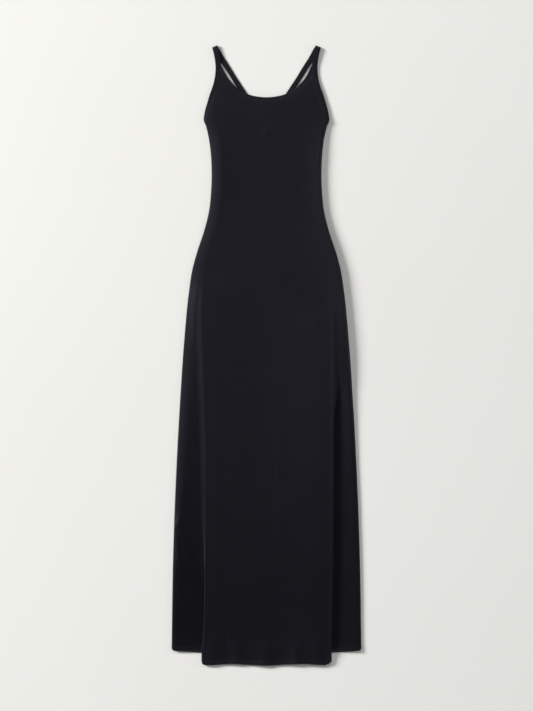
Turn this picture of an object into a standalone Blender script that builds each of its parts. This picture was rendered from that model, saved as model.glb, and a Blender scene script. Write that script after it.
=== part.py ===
"""A maxi dress in plain black jersey, laid flat on its back: front, back, neck band, straps and back bands.

Metres. +X is to the right as the dress is looked down on, +Y runs to the shoulders and +Z is up. The back
lies on the ground at z = 0, and the front lies on it. A place on the dress is given by its half width
(out from the centre line) and its drop (down from the shoulder folds). Every piece is a sheet of points
that a Solidify modifier makes a wall of cloth, half of it on each side of the sheet.
"""

import bpy
import numpy as np

# Whole dress
LENGTH = 1.5027  # drop of the lowest point of the front hem
MIDDLE = 0.75185  # drop of the middle of the whole dress, where y = 0
SEAM = 0.0003  # space between two pieces at a seam, and between two layers that touch

# Cloth
JERSEY = 0.0012  # one thickness of the panels
BINDING = 0.0016  # the folded binding of the neck and armholes, and the straps
BAND_WIDTH = 0.0140

# Fold of the skirt: the cloth turns under at the fold edge, runs in, and turns out again
ROLL_OVER = 0.0079  # cloth taken up by the upper turn where the fold is complete
ROLL_UNDER = 0.0035  # cloth taken up by the lower turn
ROLL_START = 0.65  # share of both that is turned where the fold begins
SHORTEST_TUCK = 0.0010  # cloth between the two turns where nothing is tucked in yet

# Height of the front's middle layer above the ground
SIDE_REST = 0.0021  # where the front lies on the back
SIDE_CREST = 0.0043  # the soft crest of a side portion, near its outer edge
BODICE_ROUNDING = 0.024  # how far in from the side the bodice levels out
SKIRT_ROUNDING = 0.018
NECK_ROUNDING = 0.034
FOLD_RISE_SPAN = 0.030  # how far past the tucked cloth the centre panel starts to rise to its fold
FOLD_START = 0.030  # length over which the plain front passes into its folded shape
FOLD_CLEAR = 0.0015  # how far outside the fold edge the side portion starts to swell
CREST_PLACE = 0.7  # where the side portion's crest is, as a share of its width that shows

# Shoulder: the strap turns over a fold line, drawn from its outer end to its inner end
SHOULDER_LINE = np.array([(0.1318, 0.0068), (0.1197, 0.0009)])
SHOULDER_FRONT_REST = 0.0034
BACK_STRAP_REST = BINDING / 2

# Side of the dress.  drop, half_width
SIDE_LINE = np.array([
    (0.1965, 0.1464),
    (0.2180, 0.1413),
    (0.2550, 0.1358),
    (0.3030, 0.1330),
    (0.3520, 0.1341),
    (0.4000, 0.1389),
    (0.4485, 0.1505),
    (0.4970, 0.1665),
    (0.5450, 0.1798),
    (0.5940, 0.1873),
    (0.7150, 0.1992),
    (0.8600, 0.2091),
    (1.0540, 0.2195),
    (1.2470, 0.2263),
    (1.3920, 0.2287),
    (1.4700, 0.2294),
])

# Neckline, the free edge of the neck band.  half_width, drop
NECKLINE = np.array([
    (0.1085, 0.0516),
    (0.1013, 0.0661),
    (0.0930, 0.0806),
    (0.0812, 0.0952),
    (0.0641, 0.1102),
    (0.0440, 0.1200),
    (0.0210, 0.1255),
    (0.0000, 0.1271),
])

# Front half of a strap, from the underarm up to the shoulder.
# outer half_width, outer drop, inner half_width, inner drop
STRAP_FRONT = np.array([
    (0.1470, 0.1949, 0.1460, 0.1932),
    (0.1510, 0.1866, 0.1454, 0.1859),
    (0.1522, 0.1799, 0.1440, 0.1799),
    (0.1508, 0.1690, 0.1408, 0.1690),
    (0.1485, 0.1581, 0.1377, 0.1590),
    (0.1440, 0.1423, 0.1321, 0.1446),
    (0.1387, 0.1242, 0.1256, 0.1292),
    (0.1287, 0.0952, 0.1152, 0.0990),
    (0.1237, 0.0661, 0.1096, 0.0671),
    (0.1233, 0.0516, 0.1098, 0.0510),
    (0.1248, 0.0371, 0.1113, 0.0345),
    (0.1273, 0.0226, 0.1143, 0.0180),
])

# Back half of a strap, from the shoulder down to the centre of the back, with the same columns
STRAP_BACK = np.array([
    (0.1263, 0.0151, 0.1152, 0.0080),
    (0.1141, 0.0366, 0.1032, 0.0298),
    (0.0999, 0.0582, 0.0893, 0.0516),
    (0.0816, 0.0872, 0.0716, 0.0806),
    (0.0676, 0.1094, 0.0573, 0.1024),
    (0.0581, 0.1240, 0.0478, 0.1169),
    (0.0340, 0.1630, 0.0241, 0.1554),
    (0.0002, 0.2162, 0.0002, 0.1935),
])

# Armhole of the back, the free edge of a back band.  half_width, drop
BACK_ARMHOLE = np.array([
    (0.0636, 0.1169),
    (0.0665, 0.1266),
    (0.0738, 0.1436),
    (0.0871, 0.1641),
    (0.1065, 0.1811),
    (0.1283, 0.1910),
    (0.1460, 0.1944),
])

# Height of the front where it is level, and at its free or sewn edge.  drop, level, edge
FRONT_HEIGHT = np.array([
    (0.000, SHOULDER_FRONT_REST, SHOULDER_FRONT_REST),
    (0.012, SHOULDER_FRONT_REST, SHOULDER_FRONT_REST),
    (0.035, 0.0030, 0.0029),
    (0.055, 0.0029, 0.0027),
    (0.100, 0.0032, 0.0027),
    (0.150, 0.0041, 0.0027),
    (0.200, 0.0049, 0.0024),
    (0.240, 0.0051, 0.0021),
    (0.300, 0.0051, 0.0021),
    (1.510, 0.0051, 0.0021),
])

# Folds of the skirt.  drop, half width of the fold edge, turn of the cloth in degrees, cloth tucked in
FOLD_LEFT = np.array([
    (0.580, 0.1715, 0, 0.000),
    (0.618, 0.1690, 50, 0.000),
    (0.655, 0.1652, 115, 0.000),
    (0.690, 0.1636, 160, 0.001),
    (0.730, 0.1628, 180, 0.005),
    (0.860, 0.1633, 180, 0.020),
    (1.050, 0.1646, 180, 0.034),
    (1.250, 0.1629, 180, 0.046),
    (1.400, 0.1598, 180, 0.052),
    (1.505, 0.1573, 180, 0.055),
])
FOLD_RIGHT = np.array([
    (0.690, 0.1590, 0, 0.000),
    (0.730, 0.1605, 50, 0.000),
    (0.768, 0.1618, 115, 0.000),
    (0.805, 0.1630, 160, 0.001),
    (0.850, 0.1638, 180, 0.004),
    (0.950, 0.1646, 180, 0.015),
    (1.100, 0.1646, 180, 0.030),
    (1.250, 0.1629, 180, 0.043),
    (1.400, 0.1598, 180, 0.051),
    (1.505, 0.1573, 180, 0.055),
])
LAYOUT_CHANGE = 0.110  # length over which the columns move from even spacing to the fold's own
LEAST_CLEAR = 0.25  # least share of a side portion between the fold's foot and its next column

# Front hem under the centre panel.  x, drop
HEM_WAVES = np.array([
    (-0.1516, 1.5020),
    (-0.1262, 1.5013),
    (-0.0839, 1.4992),
    (-0.0338, 1.5017),
    (0.0125, 1.5027),
    (0.0551, 1.5003),
    (0.0870, 1.4992),
    (0.1189, 1.5005),
    (0.1436, 1.5020),
])
HEM_SIDE = 1.4672  # drop of the hem at the side portions
HEM_CORNER = 0.0060  # how far in from the side the hem's outer corner is rounded off
CORNER_CUT = 0.8  # how much of that the corner is lifted
BACK_HEM_CENTRE = 1.4760

# Soft waves that run up from the front hem.  x, height, half width of the wave
WAVES = np.array([
    (-0.1370, 0.0016, 0.016),
    (-0.0690, 0.0022, 0.020),
    (-0.0080, 0.0026, 0.024),
    (0.0740, 0.0020, 0.019),
    (0.1230, 0.0013, 0.015),
])
WAVE_REACH = 0.085  # how far up the skirt they fade out

# The front lifts a little over the point where the two straps meet on the back
STRAP_JOIN_DROP = 0.2050
STRAP_JOIN_LIFT = 0.0008
STRAP_JOIN_SPREAD = 0.028

# Columns of a panel on one side of its centre line, as counts of steps
PANEL_STEPS = 10
OVER_STEPS = 4
UNDER_STEPS = 3
EDGE_SPACING = (0.022, 0.014, 0.008, 0.0035, 0.0012, 0.0)  # last columns' distances from the side seam
PORTION_STEPS = (0.42, 0.78, 0.94, 1.0)  # last columns across a side portion, as shares of its width
FRONT_STEPS = PANEL_STEPS + OVER_STEPS + 1 + UNDER_STEPS + len(EDGE_SPACING) - 1

# Rows of the panels
YOKE = 0.235  # above this drop the rows gather towards the neckline, below it they are level
FRONT_YOKE_ROWS = (0, 0.12, 0.24, 0.36, 0.48, 0.60, 0.68, 0.745, 0.86, 1)
FRONT_ROWS = (0.275, 0.318, 0.362, 0.405, 0.448, 0.490, 0.533, 0.577, 0.610, 0.640, 0.670, 0.700,
              0.730, 0.760, 0.790, 0.822, 0.860, 0.920, 1.000, 1.090, 1.180, 1.270, 1.345)
HEM_TURN = 1.400  # below this drop the rows follow the hem
FRONT_HEM_ROWS = (0, 0.28, 0.53, 0.78, 1)
BACK_YOKE_ROWS = (0, 0.25, 0.5, 0.75, 1)
BACK_ROWS = (0.275, 0.318, 0.362, 0.405, 0.448, 0.490, 0.533, 0.577, 0.640, 0.715, 0.860, 1.000,
             1.150, 1.300)
BACK_HEM_ROWS = (0, 0.6, 1)
BACK_INNER_COLUMNS = (0, 0.5)  # shares of the way out to the corner where strap, band and back meet
BACK_OUTER_COLUMNS = (0, 0.25, 0.5, 0.75, 0.92, 1)  # shares of the way from that corner to the side
BACK_SET_IN = 0.0004  # how far the back's side lies inside the front's

# Rows of the bands and straps
ACROSS = np.array([0, 0.5, 1])  # points across a band, from its free edge to its seam
TIP_ROWS = 4
TIP_GAP = 0.0004  # level space between a band's tip and the slanting edge of the strap beside it
STRAP_TOP_ROWS = 8
UNDERARM_ROWS = (0.1872, 0.1904, 0.1932)  # drops of the strap's last rows at its inner edge
SHOULDER_TURN_ROWS = 6
STRAP_BACK_ROWS = 10  # down to where the strap meets the back

NAVY_BLACK = (0.0115, 0.0105, 0.0145, 1.0)
BINDING_BLACK = (0.0125, 0.0115, 0.0155, 1.0)


def slopes(at, values):
    """Slope of a smooth curve at each row: the mean slope of the steps on both sides of it."""
    steps = np.diff(values, axis=0) / np.diff(at)[:, None]
    middle = (steps[1:] * np.diff(at)[:-1, None] + steps[:-1] * np.diff(at)[1:, None])
    middle /= (at[2:] - at[:-2])[:, None]
    return np.vstack([steps[:1], middle, steps[-1:]])


def smooth(at, rows, where):
    """Reads a smooth curve through rows, which are at the places at, at each place where."""
    rows = rows.reshape(len(at), -1)
    where = np.atleast_1d(where)
    slope = slopes(at, rows)
    step = np.clip(np.searchsorted(at, where, side="right") - 1, 0, len(at) - 2)
    width = (at[step + 1] - at[step])[:, None]
    t = ((where - at[step])[:, None] / width).clip(0, 1)
    return ((2 * t**3 - 3 * t**2 + 1) * rows[step] + (t**3 - 2 * t**2 + t) * width * slope[step]
            + (3 * t**2 - 2 * t**3) * rows[step + 1] + (t**3 - t**2) * width * slope[step + 1])


def along(rows, count):
    """A smooth line through rows, as count points evenly spaced by the length of its first two columns."""
    length = np.concatenate([[0], np.hypot(*np.diff(rows[:, :2], axis=0).T).cumsum()])
    return smooth(length, rows, np.linspace(0, length[-1], count))


def table(rows, drop, column=1):
    return smooth(rows[:, 0], rows[:, column], drop)[:, 0]


def ease(t):
    """0 below 0, 1 above 1, and smooth between."""
    t = np.clip(t, 0, 1)
    return t * t * (3 - 2 * t)


def dome(t):
    """A quarter of an ellipse: 0 at 0, rising steeply, level from 1 on."""
    return np.sqrt(1 - (1 - np.clip(t, 0, 1)) ** 2)


def beside(line, distance):
    """A line of (half width, drop) points moved square to its run: outwards where the line runs down."""
    run = np.gradient(line, axis=0)
    run /= np.hypot(run[:, 0], run[:, 1])[:, None]
    return line + distance * np.stack([run[:, 1], -run[:, 0]], axis=1)


def read(line, places):
    """The points of a line at places counted along its points."""
    return np.stack([np.interp(places, np.arange(len(line)), column) for column in line.T], axis=1)


def placed(half, drop, height, side):
    """Points of the world from half widths, drops and heights on one side: -1 is left, +1 is right."""
    half, drop, height = np.broadcast_arrays(half, drop, height)
    return np.stack([side * half, MIDDLE - drop, height], axis=-1)


def shoulder_axis():
    """The line that the strap turns about, from its outer to its inner end, and the way up from it."""
    run = SHOULDER_LINE[0] - SHOULDER_LINE[1]
    up = np.array([run[1], -run[0]]) / np.hypot(*run)
    return SHOULDER_LINE - up * (SHOULDER_RADIUS + BINDING / 2), up


DENSE = 800  # points in a line that is only read from
SHOULDER_RADIUS = (SHOULDER_FRONT_REST - BACK_STRAP_REST) / 2
AXIS, UP = shoulder_axis()
strap_front = along(np.vstack([STRAP_FRONT, AXIS.ravel()]), DENSE)[::-1]  # down to the underarm
strap_back = along(np.vstack([AXIS.ravel(), STRAP_BACK]), DENSE)
neckline = along(np.vstack([NECKLINE, NECKLINE[-2::-1] * (-1, 1)]), 2 * DENSE - 1)[:DENSE]
back_armhole = along(BACK_ARMHOLE, DENSE)


def half_at(line, drop):
    """Half width of a line that only runs down, at each drop."""
    return np.interp(drop, np.maximum.accumulate(line[:, 1]), line[:, 0])


def outline(drop):
    """Half width of the whole front: the strap's outer edge down to the underarm, then the side seam."""
    return np.where(drop < SIDE_LINE[0, 0], half_at(strap_front[:, :2], drop), table(SIDE_LINE, drop))


def front_edge(drop):
    """Half width of the front panel: out to the strap's seam, and below the underarm to the side seam."""
    side = table(SIDE_LINE, np.maximum(drop, SIDE_LINE[0, 0])) - JERSEY / 2
    return np.where(drop < strap_front[-1, 3], half_at(strap_front[:, 2:], drop) - SEAM, side)


def front_height(half, drop):
    """Height of the plain front: level in the middle, rounded down to its edges at the sides and neck."""
    level, edge = table(FRONT_HEIGHT, drop, 1), table(FRONT_HEIGHT, drop, 2)
    rounding = BODICE_ROUNDING + (SKIRT_ROUNDING - BODICE_ROUNDING) * ease((drop - 0.45) / 0.3)
    from_side = dome((outline(drop) - JERSEY / 2 - half) / rounding)
    neck_drop = np.interp(half, neckline[::-1, 0], neckline[::-1, 1], right=-1.0)
    from_neck = dome((drop - neck_drop) / NECK_ROUNDING)
    lift = np.exp(-(half**2 + (drop - STRAP_JOIN_DROP) ** 2) / STRAP_JOIN_SPREAD**2)
    return edge + (level - edge) * from_side * from_neck + STRAP_JOIN_LIFT * lift


def even_columns(edge):
    """Half widths of the front's columns where it has no fold: even, and closer near the edge."""
    last = edge[:, None] - np.array(EDGE_SPACING)
    inner = np.linspace(0, 1, FRONT_STEPS - len(EDGE_SPACING) + 2)[:-1]
    return np.hstack([last[:, :1] * inner, last])


def front_neck_seam():
    """Where each column of the front meets the neck band, as a place along the neckline and a drop."""
    seam = beside(neckline, BAND_WIDTH + SEAM)
    past = even_columns(front_edge(seam[:, 1])) - seam[:, :1]
    places = np.array([np.interp(0, column, np.arange(DENSE)) for column in past.T])
    return places, np.interp(places, np.arange(DENSE), seam[:, 1])


def turned(cloth, angle, steps):
    """A turn that takes up a length of cloth: how far out and down each step is from its start."""
    part = np.linspace(0, angle, steps + 1)[1:]
    return cloth / angle * np.sin(part), cloth / angle * (1 - np.cos(part))


def folded_section(fold, drop):
    """Half widths and heights of the front's columns at one drop, with the fold at that drop.

    From the centre line: the centre panel, the upper turn, the tucked cloth, the lower turn and the side
    portion. Each turn grows in angle down the skirt, so that a soft step becomes a fold.
    """
    edge = table(SIDE_LINE, drop)[0] - JERSEY / 2
    fold_edge, degrees, tuck = (table(fold, drop, column)[0] for column in (1, 2, 3))
    angle = np.radians(np.clip(degrees, 0.5, 180))
    tuck = max(tuck, 0) + SHORTEST_TUCK
    share = (1 - np.cos(angle)) / 2
    level, rest = table(FRONT_HEIGHT, drop, 1)[0], table(FRONT_HEIGHT, drop, 2)[0]

    roll = ROLL_START + (1 - ROLL_START) * share
    over_out, over_down = turned(ROLL_OVER * roll, angle, OVER_STEPS)
    under_out, under_down = turned(ROLL_UNDER * roll, angle, UNDER_STEPS)
    tuck_out, tuck_down = over_out[-1] + tuck * np.cos(angle), over_down[-1] + tuck * np.sin(angle)
    back_out = tuck_out + under_out[-1] - np.append(under_out[-2::-1], 0)
    back_down = tuck_down + under_down[-1] - np.append(under_down[-2::-1], 0)
    out = np.concatenate([over_out, [tuck_out], back_out])
    down = np.concatenate([over_down, [tuck_down], back_down])

    start = fold_edge - JERSEY / 2 * share - over_out.max()
    low = level + (SIDE_REST - level) * share
    top = low + down[-1]
    panel = np.linspace(0, start, PANEL_STEPS + 1)
    panel_height = level + (top - level) * ease(1 - (start - panel) / (tuck + FOLD_RISE_SPAN))

    foot = start + out[-1]
    clear = max(LEAST_CLEAR, (fold_edge + FOLD_CLEAR - foot) / (edge - foot))
    portion = foot + (edge - foot) * (clear + (1 - clear) * np.array((0,) + PORTION_STEPS))
    crest = level + (SIDE_CREST - level) * share
    swell = low + (crest - low) * ease((portion - fold_edge) / (edge - fold_edge) / CREST_PLACE)
    portion_height = rest + (swell - rest) * dome((edge - portion) / SKIRT_ROUNDING)
    return (np.concatenate([panel, start + out, portion]),
            np.concatenate([panel_height, top - down, portion_height]))


def front_row(fold, drops, side):
    """One row of the front's half below the yoke, with the fold shaped for the drop of its first column."""
    drop = drops[0]
    half = even_columns(front_edge(drops[:1]))[0]
    height = 0
    if drop > fold[0, 0] - LAYOUT_CHANGE:
        folded, height = folded_section(fold, min(drop, HEM_SIDE))
        half = half + (folded - half) * ease((drop - fold[0, 0]) / LAYOUT_CHANGE + 1)
    plain = front_height(half, np.full(len(half), min(drop, HEM_SIDE)))
    height = plain + (height - plain) * ease((drop - fold[0, 0]) / FOLD_START)
    in_panel = np.arange(FRONT_STEPS + 1) <= PANEL_STEPS
    strength = in_panel * ease((drops - LENGTH) / WAVE_REACH + 1)
    for x, rise, spread in WAVES:
        height = height + rise * np.exp(-((side * half - x) / spread) ** 2) * strength
    return placed(half, drops, height, side)


def front_hem(fold, side):
    """Drop of the front's hem in each column: waved under the panel, climbing unseen to the side hem."""
    half, _ = folded_section(fold, HEM_SIDE)
    panel = smooth(HEM_WAVES[:, 0], HEM_WAVES[:, 1], side * half[:PANEL_STEPS + 1])[:, 0]
    climb = np.linspace(0, 1, OVER_STEPS + UNDER_STEPS + 2)[1:]
    hidden = panel[-1] + (HEM_SIDE - panel[-1]) * climb**2
    outer = half[-len(PORTION_STEPS) - 1:]
    into_corner = np.clip(1 - (half[-1] - outer) / HEM_CORNER, 0, 1)
    portion = HEM_SIDE - HEM_CORNER * CORNER_CUT * into_corner**2
    return np.concatenate([panel, hidden, portion])


def front_half(fold, side):
    """Half of the front: columns from the centre line out, rows from the neckline to the hem."""
    _, tops = front_neck_seam()
    rows = []
    for share in FRONT_YOKE_ROWS:
        drops = tops + (YOKE - tops) * share
        half = np.diag(even_columns(front_edge(drops)))
        rows.append(placed(half, drops, front_height(half, drops), side))
    for drop in FRONT_ROWS:
        rows.append(front_row(fold, np.full(FRONT_STEPS + 1, drop), side))
    hem = front_hem(fold, side)
    for share in FRONT_HEM_ROWS:
        rows.append(front_row(fold, HEM_TURN + (hem - HEM_TURN) * share, side))
    return np.array(rows)


def band_half(free_edge, places, outwards, strap_edge):
    """Half of a band: rows at places along its free edge, and its points across from there to its seam.

    Near its tip the band narrows, as it ends along the strap's edge.
    """
    free = read(free_edge, places)
    out = read(beside(free_edge, outwards) - free_edge, places)
    depth = np.linspace(0, BAND_WIDTH, DENSE)
    reach = free[:, None] + out[:, None] * depth[:, None]
    clear = (half_at(strap_edge, reach[..., 1]) - reach[..., 0]) * outwards > TIP_GAP
    width = np.where(clear, depth, 0).max(axis=1)
    return free[:, None] + out[:, None] * (width[:, None] * ACROSS)[..., None]


def neck_band():
    """The neck band, from its left tip down round the neckline to its right tip."""
    places, _ = front_neck_seam()
    places = np.append(places, np.linspace(places[-1], 0, TIP_ROWS + 1)[1:])
    points = band_half(neckline, places, 1, strap_front[:, 2:])
    half, drop = points[..., 0], points[..., 1]
    height = front_height(half.ravel(), drop.ravel()).reshape(half.shape)
    left, right = (placed(half, drop, height, side) for side in (-1, 1))
    return np.vstack([left[::-1], right[1:]])


def strap(side):
    """A strap: up the front's armhole, over the shoulder, and down the back to the centre line."""
    _, tops = front_neck_seam()
    seam_drops = tops[-1] + (YOKE - tops[-1]) * np.array(FRONT_YOKE_ROWS)
    seam_drops = seam_drops[seam_drops < UNDERARM_ROWS[0]]
    top_drops = np.linspace(strap_front[0, 3], tops[-1], STRAP_TOP_ROWS)[:-1]
    drops = np.concatenate([top_drops, seam_drops, UNDERARM_ROWS])[::-1]
    front = read(strap_front, np.interp(drops, strap_front[:, 3], np.arange(DENSE)))
    angles = np.linspace(0, np.pi, SHOULDER_TURN_ROWS)[1:-1]
    over = AXIS.ravel() + np.outer(SHOULDER_RADIUS * np.sin(angles), np.tile(UP, 2))
    half, corner_column = back_columns()
    meets = np.interp(-half[corner_column::-1], -strap_back[:, 0], np.arange(DENSE))
    back = read(strap_back, np.append(np.linspace(0, meets[0], STRAP_BACK_ROWS)[:-1], meets))
    edges = np.vstack([front, over, back])
    points = edges[:, None, :2] + (edges[:, None, 2:] - edges[:, None, :2]) * ACROSS[:, None]
    half, drop = points[..., 0], points[..., 1]
    height = np.full(half.shape, BACK_STRAP_REST)
    rows = len(front)
    height[:rows] = front_height(half[:rows].ravel(), drop[:rows].ravel()).reshape(-1, len(ACROSS))
    turn_height = BACK_STRAP_REST + SHOULDER_RADIUS * (1 + np.cos(angles))
    height[rows:rows + len(angles)] = turn_height[:, None]
    return placed(half, drop, height, side)


def back_seams():
    """The back panel's seam with the straps, its seam with a back band, and where the second starts."""
    strap_seam = beside(strap_back[:, :2], SEAM)
    step = strap_seam[-1] - strap_seam[-2]
    strap_seam = np.vstack([strap_seam, strap_seam[-1] - step * strap_seam[-1, 0] / step[0]])
    band_seam = beside(back_armhole, -BAND_WIDTH - SEAM)
    outside = band_seam[:, 0] > half_at(strap_seam, band_seam[:, 1])
    return strap_seam, band_seam, int(np.argmax(outside))


def back_edge(drop):
    """Half width of the back panel, which keeps its width above the underarm."""
    return table(SIDE_LINE, np.maximum(drop, back_armhole[-1, 1] + BAND_WIDTH)) - BACK_SET_IN


def back_columns():
    """Half widths of the back's columns at its top, and the column at the corner of its two seams."""
    _, band_seam, corner = back_seams()
    side = back_edge(band_seam[-1, 1])[0]
    at_corner = band_seam[corner, 0]
    outer = at_corner + (side - at_corner) * np.array(BACK_OUTER_COLUMNS)
    return np.append(at_corner * np.array(BACK_INNER_COLUMNS), outer), len(BACK_INNER_COLUMNS)


def back_half(side):
    """Half of the back: columns from the centre line out, rows from its top edge to its hem."""
    strap_seam, band_seam, _ = back_seams()
    half, corner_column = back_columns()
    tops = np.append(np.interp(half[:corner_column], strap_seam[::-1, 0], strap_seam[::-1, 1]),
                     np.interp(half[corner_column:], band_seam[:, 0], band_seam[:, 1]))
    shares = half / half[-1]
    hem = HEM_SIDE + (BACK_HEM_CENTRE - HEM_SIDE) * (1 - shares**2)
    hem[-1] -= HEM_CORNER * CORNER_CUT
    rows = [tops + (YOKE - tops) * share for share in BACK_YOKE_ROWS]
    rows += [np.full(len(half), drop) for drop in BACK_ROWS]
    rows += [HEM_TURN + (hem - HEM_TURN) * share for share in BACK_HEM_ROWS]
    drops = np.array(rows)
    return placed(shares * back_edge(drops.ravel()).reshape(drops.shape), drops, JERSEY / 2, side)


def back_band(side):
    """A back band, from its tip beside the strap to the side seam under the arm."""
    _, band_seam, _ = back_seams()
    half, corner_column = back_columns()
    places = np.interp(half[corner_column:], band_seam[:, 0], np.arange(DENSE))
    places = np.append(np.linspace(0, places[0], TIP_ROWS + 1)[:-1], places)
    points = band_half(back_armhole, places, -1, strap_back[:, :2])
    return placed(points[..., 0], points[..., 1], BINDING / 2, side)


def both_sides(left, right):
    """One sheet from two halves that share their first column."""
    return np.concatenate([left[:, ::-1], right[:, 1:]], axis=1)


def cloth(name, sheet, thickness, colour):
    """An object for one piece: a mesh of quads over the sheet's points, made a wall by Solidify."""
    rows, columns = sheet.shape[:2]
    index = np.arange(rows * columns).reshape(rows, columns)
    quads = np.stack([index[:-1, :-1], index[1:, :-1], index[1:, 1:], index[:-1, 1:]], axis=-1)
    mesh = bpy.data.meshes.new(name)
    mesh.from_pydata(sheet.reshape(-1, 3).tolist(), [], quads.reshape(-1, 4).tolist())
    mesh.shade_smooth()
    mesh.materials.append(colour)
    piece = bpy.data.objects.new(name, mesh)
    bpy.context.scene.collection.objects.link(piece)
    piece.parent = bpy.data.objects["dress"]
    wall = piece.modifiers.new("wall", "SOLIDIFY")
    wall.thickness = thickness
    wall.offset = 0
    wall.use_even_offset = True
    wall.use_quality_normals = True


def jersey(name, colour, roughness):
    material = bpy.data.materials.new(name)
    material.use_nodes = True
    shader = material.node_tree.nodes["Principled BSDF"]
    shader.inputs["Base Color"].default_value = colour
    shader.inputs["Roughness"].default_value = roughness
    shader.inputs["Metallic"].default_value = 0
    return material


def main():
    for thing in list(bpy.data.objects):
        bpy.data.objects.remove(thing, do_unlink=True)
    bpy.context.scene.collection.objects.link(bpy.data.objects.new("dress", None))
    panels = jersey("black_jersey", NAVY_BLACK, 0.85)
    bindings = jersey("black_binding", BINDING_BLACK, 0.80)
    cloth("front", both_sides(front_half(FOLD_LEFT, -1), front_half(FOLD_RIGHT, 1)), JERSEY, panels)
    cloth("back", both_sides(back_half(-1), back_half(1)), JERSEY, panels)
    cloth("neck_band", neck_band(), BINDING, bindings)
    for word, side in (("left", -1), ("right", 1)):
        cloth(f"strap_{word}", strap(side), BINDING, bindings)
        cloth(f"back_band_{word}", back_band(side), BINDING, bindings)


main()
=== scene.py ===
"""The looks of a maxi dress in plain black jersey, laid flat on its back on a pale floor.

Metres, in the frame of the solids: +X to the right as the front is looked down on, +Y to the shoulders and
+Z up. A place on the dress is a half width, out from the centre line, and a drop, down from the shoulder
folds. Its height is the middle of the cloth. A side is -1 at the left and 1 at the right.
"""

import bpy
import numpy as np
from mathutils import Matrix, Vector


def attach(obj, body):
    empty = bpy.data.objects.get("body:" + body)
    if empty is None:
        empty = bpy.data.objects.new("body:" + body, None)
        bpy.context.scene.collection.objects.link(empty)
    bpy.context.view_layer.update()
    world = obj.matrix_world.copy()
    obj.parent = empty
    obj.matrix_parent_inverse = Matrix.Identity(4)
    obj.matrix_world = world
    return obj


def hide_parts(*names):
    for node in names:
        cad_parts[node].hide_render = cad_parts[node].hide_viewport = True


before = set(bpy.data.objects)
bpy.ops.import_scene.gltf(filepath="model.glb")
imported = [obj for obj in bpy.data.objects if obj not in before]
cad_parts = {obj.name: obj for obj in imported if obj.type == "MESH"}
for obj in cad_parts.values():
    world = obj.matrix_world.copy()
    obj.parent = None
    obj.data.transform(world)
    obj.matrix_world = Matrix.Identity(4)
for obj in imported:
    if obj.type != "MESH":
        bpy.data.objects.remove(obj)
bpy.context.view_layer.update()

# ---------------------------------------------------------------- sizes of the dress

MIDDLE = 0.75185  # drop of the middle of the whole dress, where y = 0
LENGTH = 1.5027  # drop of the lowest point of the front hem
CLOTH = 0.0009  # one thickness of the jersey
HEM_CLOTH = 0.0015  # the turned up hem, two thicknesses
BINDING = 0.0014  # the folded binding of the neck and armholes, and the straps
JERSEY = 0.0012  # the room that the layout keeps for one thickness
BAND_WIDTH = 0.0140  # width of a finished band
TUCKED = 0.0030  # how far a panel's edge runs on inside the binding that is folded over it

ROLL_GATHER = 9.0  # how strongly the upper turn of a fold gathers towards its outer end
LEAST_TURN = 0.5  # the least turn of the cloth at a fold, in degrees
BREAK_SHARE = 0.8  # the most of a turn that the break at its start takes
LOWER_TURN = 0.010  # the most cloth in a lower turn
LEAST_DOWN = 0.0002  # the least height that a lower turn takes
FOLD_RISE_SPAN = 0.150  # how far in from the tucked cloth the centre panel begins to rise to its fold
FOLD_START = 0.070  # the length down which the folds' heights take over from the plain front's
FOLD_CLEAR = 0.0015  # how far out past a fold its side portion is clear of it
# Where a side portion begins to rise to its crest, and where it gets there, as shares of its width
CREST = {-1: (-0.30, 0.90), 1: (-0.30, 1.15)}

# Top of the fold that a strap makes at the shoulder, its outer end and its inner one.  half_width, drop
SHOULDER_LINE = np.array([(0.1318, 0.0068), (0.1197, 0.0009)])
SHOULDER_FRONT_REST = 0.0034  # height of a strap's front half at the shoulder
BACK_STRAP_REST = BINDING / 2  # height of its back half, which lies on the floor
BACK_REST = 0.0006  # height of the back
BACK_TOP_LIFT = (0.0002, 0.02)  # how much higher the back's top lies, and over what length
BACK_SHARE = 0.85  # thickness of the back, as a share of JERSEY
BACK_SET_IN = 0.0004  # how far inside the side line the back ends

# Side of the dress.  drop, half_width
SIDE_LINE = np.array([
    (0.1965, 0.1464), (0.2180, 0.1413), (0.2550, 0.1358), (0.3030, 0.1330), (0.3520, 0.1341),
    (0.4000, 0.1389), (0.4485, 0.1505), (0.4970, 0.1665), (0.5450, 0.1798), (0.5940, 0.1873),
    (0.7150, 0.1992), (0.8600, 0.2091), (1.0540, 0.2195), (1.2470, 0.2263), (1.3920, 0.2287),
    (1.4700, 0.2294),
])

# Neckline, the free edge of the neck band.  half_width, drop
NECKLINE = np.array([
    (0.1085, 0.0516), (0.1013, 0.0661), (0.0930, 0.0806), (0.0812, 0.0952), (0.0641, 0.1102),
    (0.0440, 0.1200), (0.0210, 0.1255), (0.0000, 0.1271),
])

# Front half of a strap, from the underarm up.  outer half_width, outer drop, inner half_width, inner drop
STRAP_FRONT = np.array([
    (0.1470, 0.1949, 0.1460, 0.1932),
    (0.1510, 0.1866, 0.1454, 0.1859),
    (0.1522, 0.1799, 0.1440, 0.1799),
    (0.1508, 0.1690, 0.1408, 0.1690),
    (0.1485, 0.1581, 0.1377, 0.1590),
    (0.1440, 0.1423, 0.1321, 0.1446),
    (0.1387, 0.1242, 0.1256, 0.1292),
    (0.1287, 0.0952, 0.1152, 0.0990),
    (0.1237, 0.0661, 0.1096, 0.0671),
    (0.1233, 0.0516, 0.1098, 0.0510),
    (0.1248, 0.0371, 0.1113, 0.0345),
    (0.1273, 0.0226, 0.1143, 0.0180),
])

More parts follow.
